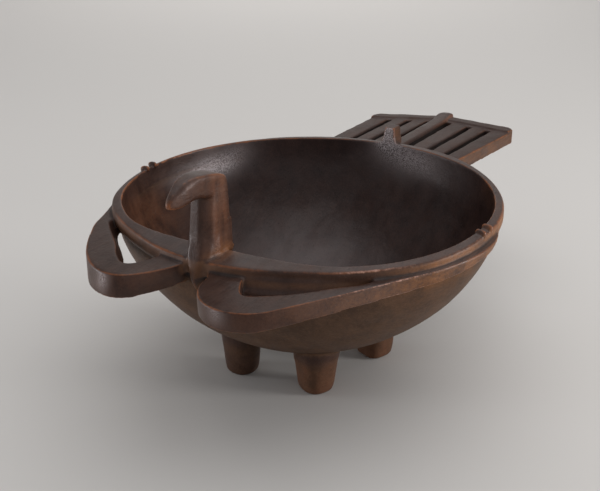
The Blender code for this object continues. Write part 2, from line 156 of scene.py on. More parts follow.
def underside(x, y):
    """Height of the vessel's outside above a point of the floor."""
    share = 1 - np.minimum(np.hypot(x, y) / 0.997, 1) ** 1.557
    return RIM_TOP - (RIM_TOP - BOTTOM) * share ** (1 / 2.034)


def inner_radius(z):
    depth = np.clip((RIM_TOP - z) / (RIM_TOP - FLOOR), 0, 1)
    return (1 - LIP) * (1 - depth**2.1) ** (1 / 1.6)


def thick_front(radius, z, angle):
    """Inner radius at angles from the head: a flat chord under the neck, blended in."""
    facing = np.maximum(np.cos(angle), 0.05)
    chord = (FRONT_CHORD + 0.10 * (RIM_TOP - z)) / facing
    low = np.minimum(radius, chord)
    return low - CHORD_BLEND * np.log(
        np.exp((low - radius) / CHORD_BLEND) + np.exp((low - chord) / CHORD_BLEND))


def bowl():
    """Vessel and rim: outside from the bottom up, over the rim and down the inside."""
    rise = np.sin(np.linspace(0, pi / 2, 70))
    below = BOTTOM + (0.905 - BOTTOM) * (1 - rise[::-1])
    below = below[1:]
    outside = [(outer_radius(z), z, 0) for z in below]
    band = spline([(0.9880, 0.9120), (1.0010, 0.9160), (1.0060, 0.9260), (1.0075, 0.9500),
                   (1.0065, 0.9740), (1.0050, 0.9830)], 14)
    outside += [(r, z, 0) for r, z in band]
    outside += [(1.0030, 0.9868, 0), (0.9995, 0.9890, 0), (0.9950, 0.9905, 0)]
    top = [(1 - LIP + 0.0035, RIM_TOP - 0.0010, 1), (1 - LIP + 0.0010, RIM_TOP - 0.0022, 1)]
    heights = FLOOR + (RIM_TOP - 0.006 - FLOOR) * (1 - rise[:-1])
    inside = [(float(inner_radius(z)), z, 1) for z in heights]
    angle = np.linspace(0, 2 * pi, 360, endpoint=False)
    rings = []
    for r, z, is_inside in outside + top + inside:
        radius = thick_front(np.full_like(angle, r), z, angle) if is_inside and r > 0.08 else r
        growth = swell(angle, SWELLS_INSIDE if is_inside else SWELLS)
        radius = radius * (1 + growth * (z / RIM_TOP) ** 2)
        rings.append(np.stack([radius * np.sin(angle), -radius * np.cos(angle),
                               np.full_like(angle, z)], 1))
    return solid(rings)


# ---- wings

def arc(centre, radius, start, end, count):
    angle = np.radians(np.linspace(start, end, count))
    return np.stack([centre[0] + radius * np.cos(angle), centre[1] + radius * np.sin(angle)], 1)


def mouth(angle):
    """Radius of the mouth at angles from the head."""
    ring = thick_front((1 - LIP) * np.ones_like(angle), RIM_TOP, angle)
    return ring * (1 + swell(angle, SWELLS_INSIDE))


def wing_top(x, y):
    return WING_TOP - 0.012 * max(0.0, y + 0.35)


def wing_underside(x, y):
    return UNDERSIDE + UNDERSIDE_RISE * (y + WING_REACH) + 0.03 * max(0.0, y + 0.35)


def wing_solid(outer, inner, inner_low, lean=0.0, lift=0.0):
    """A wing between its outer edge and its opening, whose walls slant from inner to inner_low.

    At the tip the outer wall leans back by lean and the top rises by lift.
    """
    rings = []
    for (ox, oy), (ix, iy), (lx, ly) in zip(outer, inner, inner_low):
        back = oy + lean * ramp(-1.10, -1.25, oy)
        rings.append([(ox, oy, wing_underside(ox, oy)), (lx, ly, wing_underside(lx, ly)),
                      (ix, iy, wing_top(ix, iy) + lift * ramp(-0.55, -1.15, iy)),
                      (ox, back, wing_top(ox, oy) + lift * ramp(-0.55, -1.15, oy))])
    return solid(rings)


WING_ROOT = np.array([(0.070, -1.02), (0.055, -0.97), (0.045, -0.92)])


def left_wing():
    """Bird's left wing, at +X: an arm from a long ridge round to a broad round tip."""
    tip_angle = atan2(WING_TIP.y, WING_TIP.x)
    tangent = degrees(tip_angle + acos((RIDGE_RADIUS - TIP_RADIUS) / WING_TIP.length))
    normal = np.array([cos(radians(tangent)), sin(radians(tangent))])
    turn = np.linspace(RIDGE_END, tangent, 40)
    half_way = tangent + 0.5 * (RIDGE_END - tangent)
    fade = np.clip((turn - half_way) / (RIDGE_END - half_way), 0, 1)
    ridge_radius = RIDGE_RADIUS - 0.075 * fade**1.6
    ridge = np.stack([ridge_radius * np.cos(np.radians(turn)),
                      ridge_radius * np.sin(np.radians(turn))], 1)
    share = np.linspace(0, 1, 40)[:, None]
    tip_start = np.array(WING_TIP) + TIP_RADIUS * normal
    arm = ridge[-1] + (tip_start - ridge[-1]) * share + normal * 0.006 * np.sin(pi * share)
    tip = arc(WING_TIP, TIP_RADIUS, tangent, -178, 50)
    tip[:, 0] += 0.06 * np.maximum(0, WING_TIP.x - tip[:, 0])
    outer = np.vstack([ridge[:-1], arm[:-1], tip, WING_ROOT])
    shoulder = arc((0, 0), mouth(np.radians(np.linspace(90 + RIDGE_END, 48.5, 40))) + 0.012,
                   RIDGE_END, -41.5, 40)
    opening = spline([(0.735, -0.655), (0.728, -0.715), (0.690, -0.785), (0.600, -0.876),
                      (0.500, -0.985), (0.400, -1.070), (0.345, -1.106), (0.315, -1.110),
                      (0.288, -1.088), (0.262, -1.045), (0.238, -0.995), (0.225, -0.940),
                      (0.150, -0.930)], len(outer) - 40)
    inner = np.vstack([shoulder, opening])
    return wing_solid(outer, inner, inner)


def cove():
    """Hollow fillet along the wall inside the left wing's opening."""
    rings = []
    for angle in np.radians(np.linspace(5, 49, 40)):
        buried = float(mouth(angle)) + 0.012
        rings.append([(r * sin(angle), -r * cos(angle), z) for r, z in (
            (buried, 0.952), (1.000, 0.950), (1.006, 0.930), (1.016, 0.908), (1.030, 0.890),
            (1.034, 0.872), (buried, 0.858))])
    return solid(rings)


def right_wing():
    """Bird's right wing, at -X: shorter and fuller, ending at the shoulder without a ridge."""
    outer = spline([(-0.939, -0.315), (-0.895, -0.445), (-0.866, -0.535), (-0.842, -0.605),
                    (-0.799, -0.702), (-0.756, -0.803), (-0.709, -0.890), (-0.608, -1.036),
                    (-0.506, -1.156), (-0.424, -1.232), (-0.332, -1.270), (-0.255, -1.269),
                    (-0.195, -1.235), (-0.145, -1.170), (-0.100, -1.090), (-0.070, -1.020),
                    (-0.055, -0.970), (-0.045, -0.920)], 140)
    points = [(-0.932, -0.305), (-0.883, -0.440), (-0.808, -0.571), (-0.740, -0.650),
              (-0.708, -0.735), (-0.690, -0.790), (-0.620, -0.860), (-0.550, -0.920),
              (-0.470, -0.995), (-0.400, -1.070), (-0.340, -1.118), (-0.300, -1.132),
              (-0.268, -1.118), (-0.245, -1.075), (-0.220, -1.020), (-0.205, -0.940),
              (-0.140, -0.930)]
    slant = [0, 0, 0, 0.01, 0.035, 0.035, 0.03, 0.03, 0.03, 0.025, 0.015, 0, 0, 0, 0, 0, 0]
    inner = spline(points, 140)
    low = spline([(x + s, y + 0.6 * s) for (x, y), s in zip(points, slant)], 140)
    return wing_solid(outer, inner, low, 0.018, 0.015)


# ---- head, neck and keel

def neck():
    """Slab neck: broad flanks and a front edge cut to an off-centre ridge."""
    rows = spline([  # z, front, back, half width, ridge forward of the near front corner
        (0.880, -0.990, -0.885, 0.064, 0.026), (0.940, -1.000, -0.845, 0.064, 0.030),
        (0.990, -1.000, -0.808, 0.062, 0.034),
        (1.030, -0.996, -0.804, 0.059, 0.039), (1.100, -0.988, -0.808, 0.056, 0.043),
        (1.180, -0.978, -0.812, 0.054, 0.044), (1.260, -0.968, -0.816, 0.052, 0.040),
        (1.330, -0.962, -0.830, 0.048, 0.030)], 24)
    rings = []
    for z, front, back, half, ridge in rows:
        rings.append([(-half, front + 0.020, z), (-half + 0.008, front + 0.010, z),
                      (0.12 * half, front, z), (0.50 * half, front + 0.30 * ridge, z),
                      (half - 0.004, front + ridge, z), (half, front + ridge + 0.012, z),
                      (half * 1.02, 0.5 * (front + back), z), (half, back + 0.014, z),
                      (half - 0.004, back + 0.004, z), (half - 0.014, back, z),
                      (-half + 0.012, back, z), (-half, back + 0.012, z)])
    return solid(rings)


def head():
    """Head and hooked beak, with a flat crown and a chamfer down to each cheek."""
    rows = spline([  # y, low z, high z, half width, half width of the crown
        (-0.806, 1.285, 1.312, 0.042, 0.036), (-0.817, 1.275, 1.335, 0.048, 0.042),
        (-0.842, 1.270, 1.350, 0.050, 0.044), (-0.895, 1.262, 1.366, 0.051, 0.045),
        (-0.960, 1.272, 1.379, 0.050, 0.043), (-1.020, 1.285, 1.385, 0.046, 0.036),
        (-1.080, 1.279, 1.378, 0.039, 0.026), (-1.115, 1.273, 1.361, 0.031, 0.018),
        (-1.150, 1.275, 1.339, 0.021, 0.011), (-1.170, 1.281, 1.314, 0.013, 0.007),
        (-1.178, 1.285, 1.299, 0.008, 0.005)], 40)
    rings = []
    for y, low, high, half, crown in rows:
        cheek = high - (0.10 + 0.18 * ramp(-0.98, -1.10, y)) * (high - low)
        rings.append([(-0.78 * half, y, low), (0.78 * half, y, low), (half, y, low + 0.008),
                      (half, y, cheek), (crown, y, high), (-crown, y, high),
                      (-half, y, cheek), (-half, y, low + 0.008)])
    return solid(rings)


def keel():
    """Wedge running from the neck's front edge down between the wing roots."""
    rows = spline([  # z, half width, front
        (1.130, 0.040, -0.970), (1.070, 0.050, -0.988), (1.020, 0.056, -1.004),
        (0.980, 0.052, -1.022), (0.945, 0.040, -1.034),
        (0.900, 0.027, -1.033), (0.860, 0.017, -1.018), (0.820, 0.008, -0.992),
        (0.790, 0.003, -0.965)], 24)
    rings = []
    for z, half, front in rows:
        flat = 0.35 + 0.30 * ramp(0.94, 1.02, z)
        rings.append([(-1.2 * flat * half, front, z), (0.8 * flat * half, front, z),
                      (half, front + 0.035, z), (1.25 * half, -0.90, z),
                      (-1.25 * half, -0.90, z), (-half, front + 0.035, z)])
    return solid(rings)


# ---- tail

TAIL_TOP = 0.947
TAIL_FRAME = (Matrix.Translation((0, 1, TAIL_TOP)) @ Matrix.Rotation(-0.037, 4, "X")
              @ Matrix.Rotation(-0.038, 4, "Y"))
TAIL_THICK = 0.080
BAR_THICK = 0.015
BAR_INNER = 0.898
BAR_OUTER = 0.985
BAR_SLOPE = 0.32
# Slots between the slats: x at the far end, x at the rim, far end y, width.
SLOTS = ((-0.348, -0.322, 0.790, 0.034), (-0.212, -0.202, 0.825, 0.036),
         (-0.084, -0.070, 0.925, 0.030), (0.058, 0.068, 0.905, 0.048),
         (0.232, 0.216, 0.842, 0.040), (0.380, 0.344, 0.805, 0.038))


def tail_side(y, side=1):
    """Distance from the middle of the tail to its edge on one side."""
    return 0.455 + 0.092 * y if side > 0 else 0.452 + 0.048 * y


def wall_line(x):
    """Where the tail is buried in the bowl's wall, as y from the rim."""
    return (0.985**2 - x * x) ** 0.5 - 1.0


def on_tail(obj):
    obj.data.transform(TAIL_FRAME)
    return obj


def tail_strip(near, far, half_near, half_far, start, end, crown=0.003):
    """One slat of the tail; crown rounds its top up in the middle. start is y, or None."""
    rings = []
    across = np.linspace(-1, 1, 9)
    for share in np.linspace(0, 1, 24):
        x = near + (far - near) * share
        half = half_near + (half_far - half_near) * share
        first = [start if start is not None else wall_line(x + half * a) for a in across]
        along = [y + (end - y) * share for y in first]
        high = [(x + half * a, y, crown * (1 - a * a)) for a, y in zip(across, along)]
        low = [(x + half * a, y, -TAIL_THICK) for a, y in zip(across[::-1], along[::-1])]
        rings.append(high + low)
    return on_tail(solid(rings))


def tail():
    """Seven slats, with slots right through between them, joined by a raised chevron bar."""
    edges_near, edges_far = [-tail_side(0, -1)], [-tail_side(0.80, -1)]
    for far, near, _, width in SLOTS:
        edges_near += [near - width / 2, near + width / 2]
        edges_far += [far - width / 2, far + width / 2]
    edges_near.append(tail_side(0))
    edges_far.append(tail_side(0.80))
    parts = []
    for i in range(7):
        a, b, c, d = edges_near[2 * i], edges_near[2 * i + 1], edges_far[2 * i], edges_far[2 * i + 1]
        end = BAR_OUTER - 0.06 - BAR_SLOPE * abs(c + d) / 2
        parts.append(tail_strip((a + b) / 2, (c + d) / 2, (b - a) / 2, (d - c) / 2, None, end,
                                0.008 if i == 3 else 0.003))
    # solid end beyond the slots, then the raised bar over it
    for far, near, end, width in SLOTS:
        parts.append(tail_strip(far, far, width / 2 + 0.02, width / 2 + 0.02, end, 0.86))
    for low, high, inner in ((-TAIL_THICK, 0.0, BAR_INNER - 0.03), (-0.02, BAR_THICK, BAR_INNER)):
        for side in (-1, 1):
            rings = []
            for share in np.linspace(0, 1, 61):
                reach = share * tail_side(0.85, side)
                near = inner - BAR_SLOPE * reach
                far = BAR_OUTER - (BAR_SLOPE - 0.02) * reach - 0.045 * max(0.0, share * 12 - 11) ** 2
                x, x_near = side * reach, side * share * tail_side(near, side)
                rings.append([(x_near, near, low), (x, far, low), (x, far, high), (x_near, near, high)])
            start = [(p[0] - side * 0.01, p[1], p[2]) for p in rings[0]]
            parts.append(on_tail(solid([start] + rings)))
    return parts


def tail_rib():
    """Rounded rib on the middle slat, swelling to a blunt end over the raised bar."""
    rows = spline([  # y, centre x, half width, height
        (0.02, -0.001, 0.045, 0.014), (0.40, -0.005, 0.045, 0.016), (0.70, -0.009, 0.047, 0.019),
        (0.86, -0.012, 0.050, 0.024), (0.93, -0.013, 0.055, 0.036), (0.985, -0.013, 0.054, 0.038),
        (1.004, -0.013, 0.047, 0.033), (1.016, -0.013, 0.034, 0.022)], 40)
    angle = np.linspace(0, pi, 12)
    rings = []
    for y, x, half, height in rows:
        section = [(x + half * cos(a), y, height * sin(a) ** 0.3) for a in angle]
        section += [(x - half * 0.9, y, -0.03), (x + half * 0.9, y, -0.03)]
        rings.append(section)
    return on_tail(solid(rings))


# ---- small features

LUG_X = 0.010


def lug():
    rows = spline([  # z, half width, front, back
        (0.900, 0.058, 0.955, 1.010), (1.000, 0.0485, 0.958, 1.056), (1.030, 0.039, 0.960, 1.060),
        (1.070, 0.034, 0.962, 1.060), (1.086, 0.033, 0.964, 1.059), (1.094, 0.030, 0.968, 1.054)], 20)
    rings = []
    for z, half, front, back in rows:
        left, right = LUG_X - half, LUG_X + half
        rings.append([(left, front, z), (right, front, z), (right, back, z), (left, back, z)])
    return solid(rings)


def rim_bar(side, degrees_from_head):
    """Small rounded bar lying across the rim."""
    angle = radians(degrees_from_head)
    place = Vector((side * 0.986 * sin(angle), -0.986 * cos(angle), RIM_TOP - 0.002))
    out = Vector((side * sin(angle), -cos(angle), -0.10))
    along = Vector((side * cos(angle), sin(angle), 0))
    rings = []
    for share in np.linspace(-1, 1, 15):
        scale = (1 - 0.8 * share**4) ** 0.5
        ring = []
        for a in np.linspace(0, 2 * pi, 16, endpoint=False):
            ring.append(place + out * 0.028 * share + along * 0.0140 * scale * cos(a)
                        + Vector((0, 0, 0.020 * scale * sin(a))))
        rings.append(ring)
    return solid(rings)


def foot(node, round_power, turn, shift, spread):
    """Short tapered post under the vessel; round_power 2 is round and more is squarer."""
    low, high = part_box(node)
    centre = ((low + high) / 2 - Vector((0, AXIS_Y, 0))) / RADIUS
    rows = spline([  # z, radius
        (0.0, 0.062), (0.004, 0.076), (0.016, 0.085), (0.06, 0.091), (0.14, 0.097), (0.20, 0.104),
        (0.30, 0.118)], 30)
    rings = []
    for z, radius in rows:
        angle = np.linspace(0, 2 * pi, 48, endpoint=False)
        c, s = np.cos(angle), np.sin(angle)
        radius *= 1 + (spread - 1) * min(1.0, z / 0.2)
        r = radius / (abs(c) ** round_power + abs(s) ** round_power) ** (1 / round_power)
        x, y = centre.x + shift + r * np.cos(angle + turn), centre.y + r * np.sin(angle + turn)
        rings.append(np.stack([x, y, np.minimum(max(0.0, z), underside(x, y) + 0.02)], 1))
    return solid(rings)


# ---- carving

def join(objects):
    with bpy.context.temp_override(active_object=objects[0], selected_editable_objects=objects):
        bpy.ops.object.join()
    return objects[0]


def evaluated_copy(obj):
    bpy.context.view_layer.update()
    graph = bpy.context.evaluated_depsgraph_get()
    return bpy.data.meshes.new_from_object(obj.evaluated_get(graph))


def points_of(mesh):
    flat = np.empty(len(mesh.vertices) * 3)
    mesh.vertices.foreach_get("co", flat)
    return flat.reshape(-1, 3)


def normals_of(mesh):
    flat = np.empty(len(mesh.vertices) * 3)
    mesh.vertex_normals.foreach_get("vector", flat)
    return flat.reshape(-1, 3)


class Neighbours:
    """Averages over each vertex's neighbours, for relaxing a mesh and reading its curvature."""

    def __init__(self, mesh):
        pairs = np.empty(len(mesh.edges) * 2, np.int32)
        mesh.edges.foreach_get("vertices", pairs)
        a, b = pairs.reshape(-1, 2).T
        self.own = np.concatenate([a, b])
        self.other = np.concatenate([b, a])
        self.size = len(mesh.vertices)
        self.count = np.bincount(self.own, minlength=self.size)

    def average(self, values):
        columns = [np.bincount(self.own, weights=column[self.other], minlength=self.size)
                   for column in values.reshape(self.size, -1).T]
        return (np.stack(columns, 1) / self.count[:, None]).reshape(values.shape)

    def relax(self, values, times, share=0.5):
        for _ in range(times):
            values = values + share * (self.average(values) - values)
        return values


NOISE_TABLE = 4096
NOISE_PRIMES = (73856093, 19349663, 83492791)


def lattice_noise(points, cell, seed):
    """Smooth noise between -1 and 1 from random values on a lattice of the given cell size."""
    table = np.random.default_rng(seed).uniform(-1, 1, NOISE_TABLE)
    scaled = points / cell
    base = np.floor(scaled).astype(np.int64)
    part = scaled - base
    part = part * part * (3 - 2 * part)
    total = np.zeros(len(points))
    for dx in (0, 1):
        for dy in (0, 1):
            for dz in (0, 1):
                corner = base + (dx, dy, dz)
                key = np.bitwise_xor.reduce(corner * NOISE_PRIMES, 1)
                weight = (np.where(dx, part[:, 0], 1 - part[:, 0])
                          * np.where(dy, part[:, 1], 1 - part[:, 1])
                          * np.where(dz, part[:, 2], 1 - part[:, 2]))
                total += table[key % NOISE_TABLE] * weight
    return total


def carved_form():
    """The whole bird as one mesh, in metres, made into one block by voxel remeshing."""
    objects = [bowl(), left_wing(), right_wing(), cove(), neck(), head(), keel(), *tail(),
               tail_rib(), lug(), rim_bar(1, 84.0), rim_bar(1, 88.6), rim_bar(-1, 80.3),
               rim_bar(-1, 84.9), foot("foot_front_left", 2.6, radians(-25), 0.0, 1.08),
               foot("foot_front_right", 2.3, 0.0, 0.010, 1.0),
               foot("foot_rear_left", 3.4, radians(-20), 0.0, 1.0),
               foot("foot_rear_right", 3.2, radians(25), 0.0, 1.0)]
    form = join(objects)
    form.data.transform(Matrix.Translation((0, AXIS_Y, 0)) @ Matrix.Scale(RADIUS, 4))
    remesh = form.modifiers.new("block", "REMESH")
    remesh.mode = "VOXEL"
    remesh.voxel_size = VOXEL
    mesh = evaluated_copy(form)
    bpy.data.objects.remove(form)
    return mesh


def uneven(points, normals):
    """Hand-carved unevenness: soft facets and dips, a fraction of a millimetre deep."""
    broad = lattice_noise(points * (1, 0.55, 1), 0.017, 1)
    small = lattice_noise(points * (1, 0.6, 1), 0.0065, 2)
    depth = 0.00024 * broad + 0.00009 * small
    return points + normals * depth[:, None]


def ramp(low, high, value):
    """0 below low and 1 above high, with a soft change between."""
    t = np.clip((value - low) / (high - low), 0, 1)
    return t * t * (3 - 2 * t)


def spot(q, centre, size):
    """Soft blob of paint about centre, size giving its reach along each axis."""
    return np.exp(-(((q - centre) / size) ** 2).sum(1))


def zones(points, normals, near):
    """Paint masks that the wood's finish reads, each a number for every vertex, among them painted sheen,
    highlights and shade.
    """
    fine = near.relax(points, 5)
    broad = near.relax(fine, 26, 0.9)
    edge = ((points - fine) * normals).sum(1) / (0.20 * VOXEL)
    form = ((points - broad) * normals).sum(1) / 0.0016
    q = (points - (0, AXIS_Y, 0)) / RADIUS
    r = np.hypot(q[:, 0], q[:, 1])
    angle = np.arctan2(q[:, 0], -q[:, 1])
    z = q[:, 2]
    skin = 0.5 * (outer_radius(np.minimum(z, 0.9)) + inner_radius(np.minimum(z, 0.995)))
    skin = skin * (1 + swell(angle) * (np.minimum(z, 1) / RIM_TOP) ** 2)
    skin = np.where(np.abs(angle) < 0.5, np.minimum(skin, 0.93 / np.cos(angle)), skin)
    inside = ramp(0.012, -0.012, r - skin) * ramp(1.0, 0.985, z)
    inside *= ramp(0.16, 0.19, z)
    band = ramp(0.975, 0.985, r) * ramp(0.905, 0.918, z) * ramp(0.998, 0.985, z)
    band *= ramp(1.040, 1.025, r) * ramp(0.6, 0.2, normals[:, 2])
    east = ramp(0.1, 0.6, normals[:, 0])
    upright = ramp(0.55, 0.2, np.abs(normals[:, 2]))
    warm = spot(q, (0.055, -0.88, 1.16), (0.05, 0.13, 0.20)) * east * ramp(-0.96, -0.92, q[:, 1])
    warm += 0.7 * spot(q, (0.06, -0.88, 1.02), (0.06, 0.08, 0.04))
    warm += 0.65 * spot(q, (0.05, -0.92, 1.33), (0.05, 0.13, 0.05)) * east
    wing_side = upright * ramp(1.03, 1.08, r) * ramp(0.82, 0.88, z)
    wing_side *= ramp(0.5, 0.2, q[:, 1])
    warm += 0.26 * wing_side
    # Redder, lighter feet on the +X side: partly their own tone, partly painted light where the right-hand
    # lamp falls on them.
    warm += 0.50 * ramp(0.24, 0.16, z) * ramp(-0.1, 0.1, q[:, 0])
    warm += 0.8 * inside * spot(q, (-0.85, -0.35, 0.75), (0.30, 0.40, 0.26))
    warm += 0.4 * inside * spot(q, (0.72, 0.15, 0.45), (0.25, 0.25, 0.22))
    flank = ramp(0.7, 1.2, angle) * ramp(2.4, 1.9, angle)
    gold = flank * ramp(0.12, 0.02, np.abs(z - 0.93)) * (1 - inside)
    gold *= ramp(0.7, 0.3, normals[:, 2])
    gold += 0.18 * flank * ramp(0.2, 0.0, np.abs(z - 0.86)) * (1 - inside)
    gold += 0.6 * wing_side * ramp(0.45, 0.85, q[:, 0])
    gold += (0.42 * ramp(0.3, 0.7, normals[:, 0]) * ramp(0.40, 0.44, q[:, 0])
             * ramp(0.85, 0.95, q[:, 1]))
    gold += 0.9 * spot(q, (0.065, -0.86, 1.005), (0.05, 0.11, 0.022))
    gold += 0.4 * spot(q, (LUG_X + 0.04, 1.0, 1.05), (0.02, 0.06, 0.06)) * east
    # Painted shade: the band's tan fades at the front on its upper part, where that face is shaded.
    front = ramp(0.10, 0.35, angle) * ramp(1.15, 0.75, angle)
    band *= 1 - 0.8 * front * ramp(0.925, 0.950, z)
    # Painted sheen and highlights: pale grey patches where the waxed wood reflects the lamps, on the lug's
    # front, inside the bowl, on the rim's top, on the wing tips and sides and on the vessel's front.
    painted_sheen = 0.85 * spot(q, (LUG_X, 0.96, 1.04), (0.09, 0.05, 0.09)) * ramp(0.2, 0.6, -normals[:, 1])
    painted_sheen += 0.52 * inside * spot(q, (0.17, 0.95, 0.93), (0.24, 0.12, 0.11))
    painted_sheen += 2.20 * inside * spot(q, (-0.90, 0.30, 0.94), (0.18, 0.22, 0.11))
    painted_sheen += 0.22 * inside * spot(q, (-0.27, 0.44, 0.32), (0.38, 0.26, 0.18))
    painted_sheen += 0.06 * inside * spot(q, (-0.50, 0.80, 0.85), (0.45, 0.30, 0.20))
    painted_sheen += 0.10 * inside * spot(q, (0.50, 0.82, 0.92), (0.25, 0.20, 0.12))
    painted_sheen += 0.05 * ramp(0.982, 0.990, z) * ramp(0.7, 0.9, normals[:, 2])
    painted_sheen += 0.07 * wing_side * ramp(0.45, 0.85, q[:, 0])
    painted_sheen += 0.07 * (1 - inside) * spot(q, (-0.50, -0.70, 0.60), (0.30, 0.30, 0.20))
    painted_sheen += 0.6 * upright * spot(q, (-0.315, -1.27, 0.93), (0.035, 0.05, 0.05))
    painted_sheen += 0.45 * upright * spot(q, (0.29, -1.27, 0.93), (0.045, 0.05, 0.05))
    # Pale edge lines at the front right: partly rubbed wear, partly painted highlights where the edges catch
    # the light.
    rub_and_glint = ramp(0.35, 0.8, angle) * ramp(1.5, 0.9, angle) * (1 - inside)
    lip = np.exp(-(((r - mouth(angle)) / 0.005) ** 2) - ((z - 0.988) / 0.008) ** 2)
    lip *= 0.03 + 0.55 * ramp(2.5, 2.0, np.abs(angle))
    edge = edge * (1 + 0.10 * ramp(1.05, 1.1, z) * ramp(0.5, 0.0, q[:, 1]))
    slats = ramp(0.44, 0.42, np.abs(q[:, 0])) * ramp(1.02, 1.06, q[:, 1])
    edge = edge * (1 - 0.55 * slats)
    rib_side = ramp(-0.010, 0.0, -tail_depth(q)) * ramp(0.2, 0.5, normals[:, 0])
    warm += 0.9 * slats * rib_side * ramp(0.5, 0.9, q[:, 1] - 1)
    edge = edge + 0.9 * lip * (1 + 1.3 * lattice_noise(points, 0.006, 3))
    # Painted shade down the walls of the tail's slots, passed on through the form mask to the hollow
    # darkening.
    slot_walls = slats * ramp(0.3, 0.6, np.abs(normals[:, 0])) * ramp(
        0.004, 0.014, tail_depth(q))
    form = form - 1.2 * slot_walls
    edge = edge * (1 + 0.7 * spot(np.stack([r, z], 1), (1.0, 0.985), (0.012, 0.012)))
    outer = (1 - inside) * ramp(0.900, 0.885, z) * ramp(0.06, 0.02, np.abs(
        r - outer_radius(np.minimum(z, 0.9)) * (1 + swell(angle) * (z / RIM_TOP) ** 2)))
    outer = np.maximum(outer, ramp(0.24, 0.16, z) * (1 - inside))
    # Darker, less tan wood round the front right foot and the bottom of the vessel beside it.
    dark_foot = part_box("foot_front_right")
    dark_foot = ((dark_foot[0] + dark_foot[1]) / 2 - Vector((0, AXIS_Y, 0))) / RADIUS
    outer = outer * (1 - 0.85 * spot(q, (dark_foot.x, dark_foot.y, 0.08), (0.16, 0.16, 0.13)))
    return {"smooth": normals, "edge": edge, "form": form, "inside": inside, "band": band, "outer": outer,
            "warm": np.clip(warm, 0, 1), "painted_sheen": np.clip(painted_sheen, 0, 1), "rub_and_glint": rub_and_glint,
            "gold": np.clip(gold, 0, 1)}


def tail_depth(q):
    """Depth of points below the plane of the tail's slats."""
    plane = TAIL_FRAME.inverted()
    row = plane[2]
    return -(q[:, 0] * row[0] + q[:, 1] * row[1] + q[:, 2] * row[2] + row[3])


PAINT = ("edge", "form", "inside", "band", "outer", "warm", "painted_sheen", "rub_and_glint", "gold")


def store(mesh, masks):
    for name, values in masks.items():
        if values.ndim > 1:
            attribute = mesh.attributes.new(name, "FLOAT_VECTOR", "POINT")
            attribute.data.foreach_set("vector", values.astype(np.float32).ravel())
        else:
            attribute = mesh.attributes.new(name, "FLOAT", "POINT")
            attribute.data.foreach_set("value", values.astype(np.float32))


def lightened(mesh):
    """The mesh with the faces of its smoothest stretches merged."""
    obj = new_object("form", mesh)
    modifier = obj.modifiers.new("lighten", "DECIMATE")
    modifier.ratio = FACES_KEPT
    found = evaluated_copy(obj)
    bpy.data.objects.remove(obj)
    return found


# ---- dividing the form

def in_metres(obj):
    obj.data.transform(Matrix.Translation((0, AXIS_Y, 0)) @ Matrix.Scale(RADIUS, 4))
    mark = obj.data.attributes.new("cut", "INT", "FACE")
    mark.data.foreach_set("value", np.ones(len(obj.data.polygons), np.int32))
    return obj


def box_cutter(low, high):
    """Upright block between two corners."""
    (x0, y0, z0), (x1, y1, z1) = low, high
    return solid([[(x0, y0, z), (x1, y0, z), (x1, y1, z), (x0, y1, z)] for z in (z0, z1)])


def body_cutter():
    """Everything within the bowl's outside and under its rim, a little enlarged."""
    heights = BOTTOM + (0.885 - BOTTOM) * (1 - np.sin(np.linspace(0, pi / 2, 50)))[::-1][1:]
    profile = [(outer_radius(z) + CUT_MARGIN, z - CUT_MARGIN) for z in heights]
    profile += [(1.006, 0.895), (1.0075 + CUT_MARGIN, 0.910), (1.0075 + CUT_MARGIN, 0.960),
                (1.002 + CUT_MARGIN, RIM_TOP + CUT_MARGIN)]
    angle = np.linspace(0, 2 * pi, 256, endpoint=False)
    rings = []
    for r, z in profile:
        radius = r * (1 + swell(angle) * (min(z, RIM_TOP) / RIM_TOP) ** 2)
        rings.append(np.stack([radius * np.sin(angle), -radius * np.cos(angle),
                               np.full_like(angle, z)], 1))
    return in_metres(solid(rings))


def keel_cutter():
    rings = []
    for z, half in ((0.70, 0.010), (0.80, 0.018), (0.86, 0.027), (0.90, 0.036), (0.945, 0.050),
                    (1.00, 0.062), (1.02, 0.066)):
        rings.append([(-half, -1.3, z), (half, -1.3, z), (half, -0.7, z), (-half, -0.7, z)])
    return in_metres(solid(rings))


def end_bar_cutter():
    rings = []
    for z in (0.0025, 0.2):
        ring = [(0, BAR_INNER - 0.006, z)]
        for x in (0.7, -0.7):
            ring += [(x, BAR_INNER - 0.006 - BAR_SLOPE * abs(x), z), (x, 1.3, z)][::1 if x > 0 else -1]
        rings.append(ring)
    return in_metres(on_tail(solid(rings)))


def rib_cutter():
    rings = []
    for y, half in ((-0.2, 0.049), (0.4, 0.049), (0.86, 0.060), (1.2, 0.064)):
        x = -0.005 - 0.008 * y
        rings.append([(x - half, y, 0.0045), (x + half, y, 0.0045), (x + half, y, 0.2),
                      (x - half, y, 0.2)])
    return in_metres(on_tail(solid(rings)))


def divide(mesh, cutter):
    """The part of mesh inside the cutter and the part outside it, as closed meshes."""
    found = []
    for operation in ("INTERSECT", "DIFFERENCE"):
        obj = new_object("part", mesh)
        modifier = obj.modifiers.new("divide", "BOOLEAN")
        modifier.operation = operation
        modifier.solver = "MANIFOLD"
        modifier.object = cutter
        found.append(evaluated_copy(obj))
        bpy.data.objects.remove(obj)
    bpy.data.objects.remove(cutter)
    return found


